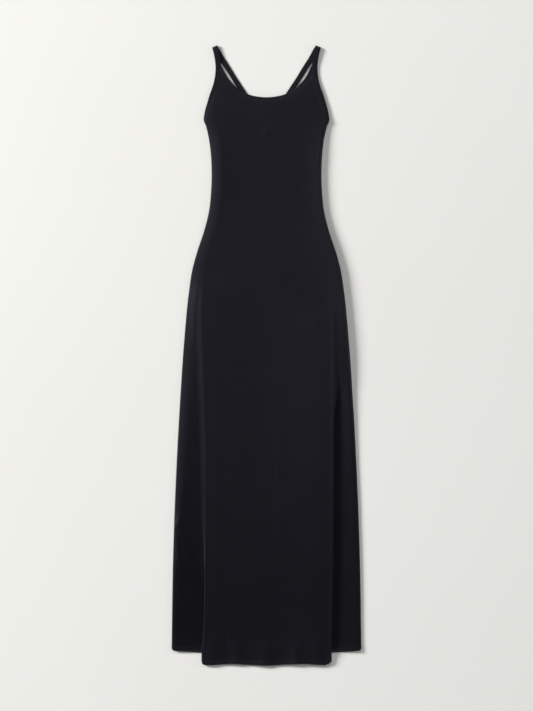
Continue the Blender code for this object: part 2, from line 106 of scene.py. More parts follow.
# Back half of a strap, from the shoulder down to the centre of the back, with the same columns
STRAP_BACK = np.array([
    (0.1263, 0.0151, 0.1152, 0.0080),
    (0.1141, 0.0366, 0.1032, 0.0298),
    (0.0999, 0.0582, 0.0893, 0.0516),
    (0.0816, 0.0872, 0.0716, 0.0806),
    (0.0676, 0.1094, 0.0573, 0.1024),
    (0.0581, 0.1240, 0.0478, 0.1169),
    (0.0340, 0.1630, 0.0241, 0.1554),
    (0.0002, 0.2162, 0.0002, 0.1935),
])

# Armhole of the back, the free edge of a back band.  half_width, drop
BACK_ARMHOLE = np.array([
    (0.0636, 0.1169), (0.0665, 0.1266), (0.0738, 0.1436), (0.0871, 0.1641), (0.1065, 0.1811),
    (0.1283, 0.1910), (0.1460, 0.1944),
])

NECK_ROUNDING = 0.034  # how far below the neckline the front has risen to its level
# Height of the front where it is level, and at its free or sewn edge.  drop, level, edge
FRONT_HEIGHT = np.array([
    (0.000, SHOULDER_FRONT_REST, SHOULDER_FRONT_REST),
    (0.012, SHOULDER_FRONT_REST, SHOULDER_FRONT_REST),
    (0.033, 0.0030, 0.0029),
    (0.045, 0.0024, 0.0023),
    (0.060, 0.0020, 0.0019),
    (0.080, 0.0020, 0.0019),
    (0.100, 0.0030, 0.0026),
    (0.120, 0.0036, 0.0027),
    (0.150, 0.0041, 0.0027),
    (0.200, 0.0049, 0.0024),
    (0.240, 0.0051, 0.0021),
    (0.300, 0.0051, 0.0021),
    (1.510, 0.0051, 0.0021),
])

# Folds of the skirt.  drop, half width where the cloth breaks, turn of the cloth in degrees, cloth in the
# upper turn, cloth tucked in straight, height at the top, height at the foot, height of the side portion's
# crest.  The columns of the front shift to the fold's places between the first two rows
FOLD_LEFT = np.array([
    (0.400, 0.1120, 0, 0.0040, 0.0020, 0.0060, 0.0058, 0.0052),
    (0.540, 0.1500, 4, 0.0036, 0.0034, 0.0072, 0.0066, 0.0052),
    (0.600, 0.1560, 8, 0.0034, 0.0044, 0.0079, 0.0066, 0.0049),
    (0.640, 0.1582, 10, 0.0032, 0.0056, 0.0083, 0.0064, 0.0045),
    (0.680, 0.1576, 10, 0.0032, 0.0058, 0.0083, 0.0062, 0.0045),
    (0.720, 0.1563, 10, 0.0032, 0.0056, 0.0080, 0.0057, 0.0048),
    (0.763, 0.1542, 10, 0.0032, 0.0050, 0.0075, 0.0051, 0.0053),
    (0.811, 0.1526, 10, 0.0032, 0.0046, 0.0069, 0.0046, 0.0056),
    (0.860, 0.1506, 10, 0.0032, 0.0040, 0.0063, 0.0040, 0.0057),
    (0.908, 0.1493, 10, 0.0032, 0.0036, 0.0058, 0.0034, 0.0058),
    (0.960, 0.1478, 11, 0.0030, 0.0030, 0.0054, 0.0028, 0.0058),
    (1.030, 0.1468, 11, 0.0030, 0.0022, 0.0048, 0.0024, 0.0058),
    (1.100, 0.1466, 12, 0.0028, 0.0010, 0.0043, 0.0023, 0.0057),
    (1.160, 0.1468, 16, 0.0026, 0.0004, 0.0040, 0.0023, 0.0054),
    (1.200, 0.1470, 25, 0.0026, 0.0002, 0.0039, 0.0023, 0.0052),
    (1.235, 0.1472, 48, 0.0024, 0.0002, 0.0040, 0.0022, 0.0050),
    (1.265, 0.1474, 95, 0.0024, 0.0004, 0.0043, 0.0021, 0.0048),
    (1.295, 0.1476, 150, 0.0024, 0.0030, 0.0047, 0.0021, 0.0046),
    (1.330, 0.1479, 176, 0.0025, 0.0100, 0.0052, 0.0021, 0.0044),
    (1.390, 0.1490, 180, 0.0026, 0.0280, 0.0056, 0.0021, 0.0040),
    (1.450, 0.1523, 180, 0.0026, 0.0430, 0.0058, 0.0021, 0.0038),
    (1.505, 0.1600, 180, 0.0028, 0.0560, 0.0056, 0.0021, 0.0034),
])
FOLD_RIGHT = np.array([
    (0.480, 0.1200, 0, 0.0060, 0.0010, 0.0074, 0.0072, 0.0090),
    (0.620, 0.1500, 1, 0.0080, 0.0010, 0.0078, 0.0076, 0.0100),
    (0.690, 0.1530, 2, 0.0100, 0.0010, 0.0083, 0.0076, 0.0100),
    (0.740, 0.1536, 5, 0.0110, 0.0010, 0.0086, 0.0072, 0.0097),
    (0.787, 0.1538, 15, 0.0115, 0.0010, 0.0088, 0.0056, 0.0088),
    (0.825, 0.1538, 38, 0.0115, 0.0010, 0.0090, 0.0042, 0.0077),
    (0.862, 0.1536, 84, 0.0115, 0.0010, 0.0092, 0.0030, 0.0067),
    (0.900, 0.1532, 138, 0.0115, 0.0030, 0.0094, 0.0024, 0.0060),
    (0.940, 0.1527, 172, 0.0115, 0.0080, 0.0096, 0.0021, 0.0055),
    (0.980, 0.1522, 180, 0.0115, 0.0140, 0.0098, 0.0021, 0.0050),
    (1.100, 0.1516, 180, 0.0115, 0.0280, 0.0101, 0.0021, 0.0047),
    (1.250, 0.1504, 180, 0.0115, 0.0420, 0.0102, 0.0021, 0.0045),
    (1.360, 0.1490, 180, 0.0115, 0.0480, 0.0098, 0.0021, 0.0044),
    (1.505, 0.1462, 180, 0.0115, 0.0550, 0.0086, 0.0021, 0.0042),
])
# How sharply the cloth breaks at the inner side of each fold, in degrees, and for the columns of the hem
BREAK_LEFT, BREAK_RIGHT = 8, -5
BREAK_HEM = 10

# Width over which the front rounds down to its side.  drop, width at the left, width at the right
ROUNDING = np.array([
    (0.00, 0.020, 0.020), (0.13, 0.028, 0.014), (0.19, 0.029, 0.007), (0.25, 0.028, 0.006),
    (0.33, 0.027, 0.006), (0.46, 0.029, 0.006), (0.60, 0.031, 0.007), (0.74, 0.029, 0.008),
    (0.92, 0.027, 0.009), (1.05, 0.024, 0.010), (1.20, 0.015, 0.010), (1.36, 0.011, 0.010),
    (1.51, 0.010, 0.010),
])
# How much higher than its level the plain front stands at its sides.  drop, left, right, reach of the right
PUFF = np.array([
    (0.00, 0, 0, 0.040), (0.15, 0, 0, 0.040), (0.20, 0.0008, 0.0012, 0.048), (0.26, 0.0010, 0.0026, 0.050),
    (0.33, 0.0010, 0.0028, 0.052), (0.40, 0.0004, 0.0032, 0.064), (0.47, 0.0001, 0.0046, 0.097),
    (0.55, 0.0001, 0.0046, 0.092), (0.62, 0.0004, 0.0044, 0.082), (1.51, 0.0004, 0.0044, 0.080),
])
PUFF_REACH = 0.075  # reach of the left
ROUND_START = 0.3  # how much of the rounding of a side is a dome

# Front hem under the centre panel.  x, drop
HEM_WAVES = np.array([
    (-0.1516, 1.5020), (-0.1262, 1.5013), (-0.0839, 1.4992), (-0.0338, 1.5017), (0.0125, 1.5027),
    (0.0551, 1.5003), (0.0870, 1.4992), (0.1189, 1.5005), (0.1436, 1.5020),
])
HEM_SIDE = 1.4672  # drop of the hem of the side portions
HEM_CORNER = 0.0060  # how far in from the side seam a hem is rounded off
CORNER_CUT = 0.8  # how far up that takes it at the seam, as a share of HEM_CORNER
BACK_HEM_CENTRE = 1.4760  # drop of the back's hem at its middle
HEM_DEPTH = 0.011  # how far up the hem is turned
HEM_STEP = 0.0015  # the length over which the turned up cloth ends
HEM_LIP = (0.75, 0.004)  # thickness at the very edge as a share of the hem's, and the length that is rounded
# Where the panel's hem sinks to the floor past the cloth under it: from which drop, over what length, how far
HEM_FALL = (1.455, 0.040, 0.0030)
# How much further the panel's right edge sinks, with its thicker fold.  The same columns
FOLD_FALL = (1.420, 0.083, 0.0026)
PANEL_CORNER = 0.0070  # how far in from a fold the panel's hem is rounded off
PANEL_CUT = 0.4  # how far up that takes it at the fold, as a share of PANEL_CORNER

# Soft waves that run up from the front hem.  x, height, half width of the wave
WAVES = np.array([
    (-0.1330, 0.0018, 0.013), (-0.0700, 0.0026, 0.013), (-0.0040, 0.0032, 0.018),
    (0.0720, 0.0026, 0.013), (0.1230, 0.0013, 0.014),
])
WAVE_REACH = 0.085  # how far up from the lowest hem they fade out

# The lift of the front over the tips of the two straps, which meet on the back
STRAP_JOIN_DROP = 0.2140
STRAP_JOIN_LIFT = 0.0007
STRAP_JOIN_SPREAD = 0.009

# Creases of the front, ridges where the height is positive and troughs where it is negative.
# x and drop of one end, x and drop of the other, height, half width
FRONT_CREASES = np.array([
    (-0.2215, 1.171, -0.2045, 1.133, 0.0010, 0.0034),
    (-0.2190, 1.137, -0.2070, 1.166, 0.0008, 0.0032),
    (-0.2194, 1.211, -0.2000, 1.295, 0.0009, 0.0036),
    (-0.2125, 1.190, -0.1935, 1.262, -0.0006, 0.0050),
    (-0.0984, 1.404, -0.0972, 1.482, -0.0005, 0.0042),
    (0.0300, 0.810, 0.0330, 1.345, 0.0005, 0.0130),
    (-0.1210, 0.860, -0.1190, 1.440, 0.0004, 0.0120),
    (-0.0350, 1.010, -0.0390, 1.160, -0.0004, 0.0150),
    (0.1020, 0.560, 0.1180, 0.700, 0.0003, 0.0140),
    (-0.0520, 0.640, -0.0600, 0.930, 0.0002, 0.0160),
    (0.0900, 0.990, 0.0860, 1.300, -0.0002, 0.0160),
])
# Creases of the back, which can only lift from the floor.  The same columns
BACK_CREASES = np.array([
    (-0.1500, 0.700, -0.1700, 1.150, 0.0007, 0.0120),
    (-0.0400, 0.980, -0.0520, 1.420, 0.0008, 0.0140),
    (0.0700, 0.860, 0.0820, 1.250, 0.0006, 0.0120),
    (0.1500, 1.100, 0.1620, 1.440, 0.0008, 0.0130),
    (0.0900, 0.290, 0.0400, 0.340, 0.0005, 0.0090),
    (-0.1000, 0.330, -0.0300, 0.380, 0.0005, 0.0100),
])

CREASE_PAST = 0.12  # how far past its ends a crease fades out, as a share of its length
CREASE_FADE = 0.42  # the share of its length over which it does

# ---------------------------------------------------------------- curves and tables


def slopes(at, values):
    """Slope at each row: the mean of the slopes on both sides of it, the shorter side counting more."""
    steps = np.diff(values, axis=0) / np.diff(at)[:, None]
    middle = steps[1:] * np.diff(at)[:-1, None] + steps[:-1] * np.diff(at)[1:, None]
    return np.vstack([steps[:1], middle / (at[2:] - at[:-2])[:, None], steps[-1:]])


def smooth(at, rows, where):
    """Cubic curve through rows, read at each place where."""
    rows = rows.reshape(len(at), -1)
    slope = slopes(at, rows)
    step = np.clip(np.searchsorted(at, where, side="right") - 1, 0, len(at) - 2)
    width = (at[step + 1] - at[step])[:, None]
    t = ((where - at[step])[:, None] / width).clip(0, 1)
    return ((2 * t**3 - 3 * t**2 + 1) * rows[step] + (t**3 - 2 * t**2 + t) * width * slope[step]
            + (3 * t**2 - 2 * t**3) * rows[step + 1] + (t**3 - t**2) * width * slope[step + 1])


def along(rows, count):
    """A smooth line through rows, count points evenly spaced by the length of the first two columns."""
    length = np.concatenate([[0], np.hypot(*np.diff(rows[:, :2], axis=0).T).cumsum()])
    return smooth(length, rows, np.linspace(0, length[-1], count))


def table(rows, drop, column=1):
    """A column of a table as a smooth curve of its first column, the drop."""
    drop = np.asarray(drop, float)
    return smooth(rows[:, 0], rows[:, column], drop.ravel())[:, 0].reshape(drop.shape)


def ease(t):
    """0 below 0, 1 above 1, and smooth between."""
    t = np.clip(t, 0, 1)
    return t * t * (3 - 2 * t)


def dome(t):
    """A quarter of an ellipse: 0 at 0, rising steeply, level from 1 on."""
    return np.sqrt(1 - (1 - np.clip(t, 0, 1)) ** 2)


def rounded(t):
    """From 0 at 0 to level from 1 on: part a dome, which starts steeply, and the rest a quarter of a sine."""
    return ROUND_START * dome(t) + (1 - ROUND_START) * np.sin(np.pi / 2 * np.clip(t, 0, 1))


def beside(line, distance):
    """A line moved square to its run: outwards where the line runs down."""
    run = np.gradient(line, axis=0)
    run /= np.hypot(run[:, 0], run[:, 1])[:, None]
    return line + distance * np.stack([run[:, 1], -run[:, 0]], axis=1)


def read(line, places, at=None):
    """The points of a line at places counted along its points, or along the numbers that at gives them."""
    at = np.arange(len(line)) if at is None else at
    return np.stack([np.interp(places, at, column) for column in line.T], axis=-1)


def lengths(line):
    """Distance along a line at each of its points."""
    return np.concatenate([[0], np.linalg.norm(np.diff(line, axis=0), axis=1).cumsum()])


def unit(vectors):
    """The same directions, one long."""
    return vectors / np.linalg.norm(vectors, axis=1)[:, None]


def half_at(line, drop):
    """Half width of a line that only runs down, at each drop."""
    return np.interp(drop, np.maximum.accumulate(line[:, 1]), line[:, 0])


def placed(half, drop, height, side):
    """The points of one side in the frame of the solids: x is the half width and y falls with the drop."""
    half, drop, height = np.broadcast_arrays(half, drop, height)
    return np.stack([side * half, MIDDLE - drop, height], axis=-1)


DENSE = 1600  # points along each edge
SHOULDER_RADIUS = (SHOULDER_FRONT_REST - BACK_STRAP_REST) / 2
SHOULDER_RUN = SHOULDER_LINE[0] - SHOULDER_LINE[1]
# Square to the fold of a strap, away from the dress, and the line that the strap turns round
SHOULDER_OUT = np.array([SHOULDER_RUN[1], -SHOULDER_RUN[0]]) / np.hypot(*SHOULDER_RUN)
SHOULDER_AXIS = (SHOULDER_LINE - SHOULDER_OUT * (SHOULDER_RADIUS + BINDING / 2)).ravel()
strap_front = along(np.vstack([STRAP_FRONT, SHOULDER_AXIS]), DENSE)[::-1]
strap_back = along(np.vstack([SHOULDER_AXIS, STRAP_BACK]), DENSE)
neckline = along(np.vstack([NECKLINE, NECKLINE[-2::-1] * (-1, 1)]), 2 * DENSE - 1)[:DENSE]
back_armhole = along(BACK_ARMHOLE, DENSE)


def outline(drop):
    """Half width of the whole front: the strap's outer edge, then the side seam."""
    return np.where(drop < SIDE_LINE[0, 0], half_at(strap_front[:, :2], drop), table(SIDE_LINE, drop))


def front_edge(drop):
    """Half width of the front panel: out to the strap's seam, and below the underarm to the side seam."""
    side = table(SIDE_LINE, np.maximum(drop, SIDE_LINE[0, 0])) - JERSEY / 2
    return np.where(drop < strap_front[-1, 3], half_at(strap_front[:, 2:], drop), side)


def front_height(half, drop, side):
    """Height of the plain front: level, rounded down to its edges at the sides and neck.

    A puff towards each side is added, by the square of the place within its reach, and a bell over the tips
    of the straps.
    """
    level, edge = table(FRONT_HEIGHT, drop, 1), table(FRONT_HEIGHT, drop, 2)
    inward = outline(drop) - JERSEY / 2 - half
    rounding = table(ROUNDING, drop, 1 if side < 0 else 2)
    from_side = rounded(inward / rounding)
    puff = table(PUFF, drop, 1 if side < 0 else 2)
    reach = PUFF_REACH if side < 0 else table(PUFF, drop, 3)
    level = level + puff * (1 - np.clip((inward - rounding) / reach, 0, 1)) ** 2
    neck_drop = np.interp(half, neckline[::-1, 0], neckline[::-1, 1], right=-1.0)
    from_neck = dome((drop - neck_drop) / NECK_ROUNDING)
    lift = np.exp(-(half**2 + (drop - STRAP_JOIN_DROP) ** 2) / STRAP_JOIN_SPREAD**2)
    return edge + (level - edge) * from_side * from_neck + STRAP_JOIN_LIFT * lift


def creased(x, drop, creases):
    """Height that creases add: each is a bell across its line and fades out smoothly at both ends."""
    rise = np.zeros(np.broadcast(x, drop).shape)
    for x0, drop0, x1, drop1, height, spread in creases:
        run = np.array([x1 - x0, drop1 - drop0])
        length = np.hypot(*run)
        run /= length
        on = (x - x0) * run[0] + (drop - drop0) * run[1]
        off = (x - x0) * run[1] - (drop - drop0) * run[0]
        share = on / length
        ends = ease((share + CREASE_PAST) / CREASE_FADE) * ease((1 + CREASE_PAST - share) / CREASE_FADE)
        rise += height * ends * np.exp(-((off / spread) ** 2))
    return rise


# ---------------------------------------------------------------- the front

# Steps between the columns of the front, from the centre line out
PANEL_STEPS = 58
OVER_STEPS = 12
TUCK_STEPS = 3
UNDER_STEPS = 8
PORTION_STEPS = 22
HIDDEN_STEPS = OVER_STEPS + TUCK_STEPS + UNDER_STEPS
PORTION_START = PANEL_STEPS + HIDDEN_STEPS
FRONT_STEPS = PORTION_START + PORTION_STEPS
CROWDING = 1.22  # how much closer the columns come towards the sides
FINE = 8  # small steps that make one step of a turn

# Rows run level between these drops. Above and below they follow the neckline and the hem
YOKE = 0.235
LEVEL_END = 1.400
YOKE_ROWS = 36
YOKE_CROWDING = 0.9  # a little closer towards the yoke where it is under 1
HEM_ROWS = 22
# Level rows, closer where the folds turn.  from drop, to drop, spacing
LEVELS = ((YOKE + 0.008, 1.12, 0.0085), (1.12, 1.31, 0.0055), (1.31, LEVEL_END - 0.004, 0.0085))

SEAM_START = (0.188, 0.008)  # drop where the side seam begins, and the length over which it does
# The last strip of the front at its side: how far out and how far down it runs to the seam with the back,
# and how far out it runs inside the armhole's binding
SEAM_ROLL = np.array([(0.00015, 0.0005), (0.00005, 0.0009), (-0.0007, 0.0012)])
SEAM_TUCK = np.array([0.0009, 0.0019, 0.0030])


def crowded(share):
    """Even shares of a width made closer towards its outer end."""
    return 1 - (1 - share) ** CROWDING


def turned(cloth, first, last, gather, steps):
    """A turn that takes up a length of cloth: how far out and down each step is from its start.

    The cloth heads down at the angle first and ends at the angle last, turning faster the higher gather is.
    """
    part = (np.arange(steps * FINE) + 0.5) / (steps * FINE)
    heading = first + (last - first) * part**gather
    step = cloth / (steps * FINE)
    out, down = (step * np.cos(heading)).cumsum(axis=1), (step * np.sin(heading)).cumsum(axis=1)
    return out[:, FINE - 1::FINE], down[:, FINE - 1::FINE]


def folded_sections(fold, sharp, drop, side):
    """Half widths and heights of the front's columns, a row for each drop.

    From the centre line: the centre panel, the upper turn, the tucked cloth, the lower turn and the side
    portion. The cloth breaks at the panel's edge, slopes down, and turns faster and faster under. The lower
    turn takes what is left of the height, up to LOWER_TURN of cloth. The turn grows down the skirt, so that a
    soft slope becomes a fold. The side portion rises to its crest and rounds down to the side seam.
    """
    drop = drop[:, None]
    edge = table(SIDE_LINE, drop) - JERSEY / 2
    start, degrees, over, tuck, top, low, crest = (table(fold, drop, column) for column in range(1, 8))
    angle = np.radians(np.clip(degrees, LEAST_TURN, 180))
    level, rest = table(FRONT_HEIGHT, drop, 1), table(FRONT_HEIGHT, drop, 2)

    first = np.minimum(np.radians(sharp), BREAK_SHARE * angle)
    over_out, over_down = turned(over, first, angle, ROLL_GATHER, OVER_STEPS)
    left_down = np.maximum(top - low - over_down[:, -1:] - tuck * np.sin(angle), LEAST_DOWN)
    under = np.minimum(left_down * angle / (1 - np.cos(angle)), LOWER_TURN)
    under_out, under_down = turned(under, 0, angle, 1.0, UNDER_STEPS)
    part = np.linspace(0, 1, TUCK_STEPS + 1)[1:]
    tuck_out = over_out[:, -1:] + tuck * np.cos(angle) * part
    tuck_down = over_down[:, -1:] + tuck * np.sin(angle) * part
    none = np.zeros((len(drop), 1))
    back_out = tuck_out[:, -1:] + under_out[:, -1:] - np.hstack([under_out[:, -2::-1], none])
    back_down = tuck_down[:, -1:] + under_down[:, -1:] - np.hstack([under_down[:, -2::-1], none])
    out = np.hstack([over_out, tuck_out, back_out])
    down = np.hstack([over_down, tuck_down, back_down])

    low = top - down[:, -1:]
    fold_edge = start + over_out.max(axis=1, keepdims=True)
    panel = start * np.linspace(0, 1, PANEL_STEPS + 1)
    rise_span = np.minimum(tuck + FOLD_RISE_SPAN, start)
    panel_height = level + (top - level) * ease(1 - (start - panel) / rise_span)

    foot = start + out[:, -1:]
    portion = foot + (edge - foot) * crowded(np.linspace(0, 1, PORTION_STEPS + 1)[1:])
    clear = np.maximum(fold_edge, foot) + FOLD_CLEAR
    across = (portion - clear) / (edge - clear)
    begin, end = CREST[side]
    swell = low + (crest - low) * ease((across - begin) / (end - begin))
    rounding = np.minimum(table(ROUNDING, drop, 1 if side < 0 else 2), edge - foot)
    portion_height = rest + (swell - rest) * rounded((edge - portion) / rounding)
    return np.hstack([panel, start + out, portion]), np.hstack([panel_height, top - down, portion_height])


def front_tops():
    """Drop of each column of the front where it crosses the seam of the neck band."""
    seam = beside(neckline, BAND_WIDTH - TUCKED)
    shares = crowded(np.linspace(0, 1, FRONT_STEPS + 1))
    past = front_edge(seam[:, 1])[:, None] * shares - seam[:, :1]
    places = np.array([np.interp(0, column, np.arange(DENSE)) for column in past.T])
    return np.interp(places, np.arange(DENSE), seam[:, 1])


def front_hem(fold, side):
    """Drop of the hem in each column: waved under the panel, climbing unseen to the side hem.

    The corners at the fold and at the side seam are rounded off by a square of the place within them.
    """
    half = folded_sections(fold, BREAK_HEM, np.array([HEM_SIDE]), side)[0][0]
    panel = smooth(HEM_WAVES[:, 0], HEM_WAVES[:, 1], side * half[:PANEL_STEPS + 1])[:, 0]
    at_fold = np.clip(1 - (half[PANEL_STEPS] - half[:PANEL_STEPS + 1]) / PANEL_CORNER, 0, 1)
    panel = panel - PANEL_CORNER * PANEL_CUT * at_fold**2
    climb = np.linspace(0, 1, HIDDEN_STEPS + 1)[1:]
    hidden = panel[-1] + (HEM_SIDE - panel[-1]) * climb**2
    into_corner = np.clip(1 - (half[-1] - half[-PORTION_STEPS:]) / HEM_CORNER, 0, 1)
    return np.concatenate([panel, hidden, HEM_SIDE - HEM_CORNER * CORNER_CUT * into_corner**2])


def sunk(drop, fall):
    """How far the cloth has sunk: smoothly, from the drop where the fall starts and over its length."""
    start, reach, depth = fall
    return depth * ease((drop - start) / reach)


def front_half(fold, sharp, side):
    """Half of the front as rows of points from the centre line out, and its distance up from the hem.

    The plain front's places and heights pass into the folded ones down the skirt. Then the loose hem sinks,
    and the waves and the creases are added.
    """
    tops = front_tops()
    hem = front_hem(fold, side)
    yoke = tops + (YOKE - tops) * np.linspace(0, 1, YOKE_ROWS + 1)[:, None] ** YOKE_CROWDING
    levels = np.concatenate([np.arange(*stretch) for stretch in LEVELS])
    skirt = np.broadcast_to(levels[:, None], (len(levels), FRONT_STEPS + 1))
    foot = LEVEL_END + (hem - LEVEL_END) * np.linspace(0, 1, HEM_ROWS + 1)[:, None]
    drop = np.vstack([yoke, skirt, foot])

    first = np.minimum(drop[:, 0], HEM_SIDE)
    half = front_edge(np.minimum(drop, HEM_SIDE)) * crowded(np.linspace(0, 1, FRONT_STEPS + 1))
    folded, folded_height = folded_sections(fold, sharp, np.maximum(first, fold[0, 0]), side)
    half = half + (folded - half) * ease((first - fold[0, 0]) / (fold[1, 0] - fold[0, 0]))[:, None]
    plain = front_height(half, np.minimum(drop, HEM_SIDE), side)
    begun = ease((first - fold[1, 0]) / FOLD_START)[:, None]
    height = plain + (folded_height - plain) * begun

    columns = np.arange(FRONT_STEPS + 1)
    in_panel = columns <= PANEL_STEPS
    strength = in_panel * ease((drop - LENGTH) / WAVE_REACH + 1)
    loose = np.clip((PORTION_START - columns) / (UNDER_STEPS - 1), 0, 1)
    height = height - sunk(drop, HEM_FALL) * loose
    if side > 0:
        outer = (half / half[:, PANEL_STEPS, None]).clip(0, 1) ** 2
        height = height - sunk(drop, FOLD_FALL) * loose * outer
    for x, rise, spread in WAVES:
        height = height + rise * np.exp(-((side * half - x) / spread) ** 2) * strength
    hidden = (columns > PANEL_STEPS) & (columns <= PORTION_START)
    shown = np.where(hidden, 1 - begun, 1)
    height = height + shown * creased(side * half, drop, FRONT_CREASES)

    begin, reach = SEAM_START
    seam = ease((drop[:, -1:] - begin) / reach)
    half = np.hstack([half, half[:, -1:] + seam * SEAM_ROLL[:, 0] + (1 - seam) * SEAM_TUCK])
    height = np.hstack([height, height[:, -1:] - seam * SEAM_ROLL[:, 1]])
    drop = np.hstack([drop] + [drop[:, -1:]] * len(SEAM_ROLL))
    up_from_hem = np.append(hem, [hem[-1]] * len(SEAM_ROLL)) - drop
    return placed(half, drop, height, side), up_from_hem


# ---------------------------------------------------------------- bands, straps and the back

# Places of the columns across a band, from its free edge to its seam, closer at both
ACROSS = (1 - np.cos(np.pi * np.linspace(0, 1, 14))) / 2
MIDDLE_COLUMN = 6
STITCHED = (7, 10)  # the columns of a band that its two rows of stitches follow
TIP_UNDER = 0.0030  # how far a band's tip runs on under the strap
TIP_DROP = 0.0009  # how far it sinks there
TIP_EARLY = 0.8  # how far before the strap's edge it begins to, as a share of TIP_UNDER
# Puckers that the stitches draw up in a band.  length of a wave, height, slant across the band
PUCKERS = np.array([(0.0037, 0.00007, 0.25), (0.0053, 0.00009, -0.20), (0.0081, 0.00007, 0.35)])
PUCKERED = (0.05, 0.85)  # the places across it between which their height changes

# Rows of half a neck band, of a strap's front, shoulder and back, and of a back band
NECK_ROWS = 150
STRAP_FRONT_ROWS = 180
SHOULDER_ROWS = 12
STRAP_BACK_ROWS = 220
BACK_BAND_ROWS = 90

# Columns of half a back under the strap and beside it, and its rows
BACK_STRAP_STEPS = 21
BACK_SIDE_STEPS = 29
BACK_YOKE_ROWS = 14
BACK_HEM_ROWS = 13
BACK_LEVELS = (YOKE + 0.01, LEVEL_END - 0.004, 0.011)


def puckered(points):
    """Height that the puckers add: sine waves along a band, slanted across it, that fade to its edges."""
    run = lengths(points[:, MIDDLE_COLUMN])[:, None]
    height = sum(rise * np.sin(2 * np.pi * (run / wave + slant * ACROSS) + 1 / wave)
                 for wave, rise, slant in PUCKERS)
    return height * np.sin(np.pi * ACROSS.clip(*PUCKERED))


def band_half(free_edge, places, outwards, strap_edge):
    """Half of a band: rows square across it from its free edge to its seam, or to their end under the strap.

    outwards is 1 where the seam lies out from the free edge, and -1 where it lies in.
    """
    free = read(free_edge, places)
    out = read(beside(free_edge, outwards) - free_edge, places)
    depth = np.linspace(0, BAND_WIDTH, DENSE)
    reach = free[:, None] + out[:, None] * depth[:, None]
    clear = (half_at(strap_edge, reach[..., 1]) - reach[..., 0]) * outwards > -TIP_UNDER
    width = np.where(clear, depth, 0).max(axis=1)
    return free[:, None] + out[:, None] * (width[:, None] * ACROSS)[..., None]


def neck_band():
    """The neck band lies at the front's height, puckered, and sinks where its tips run under the straps."""
    points = band_half(neckline, np.linspace(DENSE - 1, 0, NECK_ROWS), 1, strap_front[:, 2:])
    half, drop = points[..., 0], points[..., 1]
    under = ease((half - half_at(strap_front[:, 2:], drop)) / TIP_UNDER + TIP_EARLY)
    change = puckered(points) * (1 - under) - TIP_DROP * under
    left, right = (placed(half, drop, front_height(half, drop, side) + change, side) for side in (-1, 1))
    return np.vstack([left[::-1], right[1:]])


def strap(side):
    """A strap: up the front's armhole, in a half circle over the shoulder, and down the back to the centre.

    Each row runs straight from the outer edge to the inner one.
    """
    front = read(strap_front, np.linspace(DENSE - 1, 0, STRAP_FRONT_ROWS))
    angles = np.linspace(0, np.pi, SHOULDER_ROWS + 2)[1:-1]
    over = SHOULDER_AXIS + np.outer(SHOULDER_RADIUS * np.sin(angles), np.tile(SHOULDER_OUT, 2))
    back = read(strap_back, np.linspace(0, DENSE - 1, STRAP_BACK_ROWS))
    edges = np.vstack([front, over, back])
    points = edges[:, None, :2] + (edges[:, None, 2:] - edges[:, None, :2]) * ACROSS[:, None]
    half, drop = points[..., 0], points[..., 1]
    height = np.full(half.shape, BACK_STRAP_REST)
    top, turned_over = STRAP_FRONT_ROWS, STRAP_FRONT_ROWS + SHOULDER_ROWS
    height[:top] = front_height(half[:top], drop[:top], side) + puckered(points[:top])
    height[top:turned_over] += (SHOULDER_RADIUS * (1 + np.cos(angles)))[:, None]
    height[turned_over:] += np.maximum(puckered(points[turned_over:]), 0)
    return placed(half, drop, height, side)


def back_edge(drop):
    """Half width of the back panel, which keeps its width above the underarm."""
    return table(SIDE_LINE, np.maximum(drop, back_armhole[-1, 1] + BAND_WIDTH)) - BACK_SET_IN


def back_half(side):
    """Half of the back: its top edge is tucked into the strap and the band, and its hem is a parabola."""
    strap_seam = beside(strap_back[:, :2], -TUCKED)
    band_seam = beside(back_armhole, TUCKED - BAND_WIDTH)
    outside = band_seam[:, 0] > half_at(strap_seam, band_seam[:, 1])
    corner = int(np.argmax(outside))
    side_half = back_edge(band_seam[-1, 1])
    at_corner = band_seam[corner, 0]
    half = np.concatenate([
        np.linspace(0, at_corner, BACK_STRAP_STEPS + 1)[:-1],
        at_corner + (side_half - at_corner) * crowded(np.linspace(0, 1, BACK_SIDE_STEPS + 1)),
    ])
    under_strap = np.arange(len(half)) < BACK_STRAP_STEPS
    tops = np.where(under_strap, np.interp(half, strap_seam[::-1, 0], strap_seam[::-1, 1]),
                    np.interp(half, band_seam[:, 0], band_seam[:, 1]))
    shares = half / half[-1]
    hem = HEM_SIDE + (BACK_HEM_CENTRE - HEM_SIDE) * (1 - shares**2)
    hem -= HEM_CORNER * CORNER_CUT * np.clip(1 - (1 - shares) * half[-1] / HEM_CORNER, 0, 1) ** 2
    yoke = tops + (YOKE - tops) * np.linspace(0, 1, BACK_YOKE_ROWS + 1)[:, None]
    levels = np.arange(*BACK_LEVELS)
    skirt = np.broadcast_to(levels[:, None], (len(levels), len(half)))
    foot = LEVEL_END + (hem - LEVEL_END) * np.linspace(0, 1, BACK_HEM_ROWS + 1)[:, None]
    drop = np.vstack([yoke, skirt, foot])
    half = shares * back_edge(drop)
    lift, reach = BACK_TOP_LIFT
    height = BACK_REST + creased(side * half, drop, BACK_CREASES)
    height += lift * ease((YOKE - drop) / reach)
    return placed(half, drop, height, side)


def back_band(side):
    """The binding of one armhole of the back, flat on the floor."""
    places = np.linspace(0, DENSE - 1, BACK_BAND_ROWS)
    half, drop = np.moveaxis(band_half(back_armhole, places, -1, strap_back[:, :2]), -1, 0)
    return placed(half, drop, BINDING / 2, side)


# ---------------------------------------------------------------- meshes

# Thickness of a band at its free edge, as a share of BINDING, and the share of the width that rounds
EDGE_SHARE, EDGE_ROUND = 0.35, 0.14
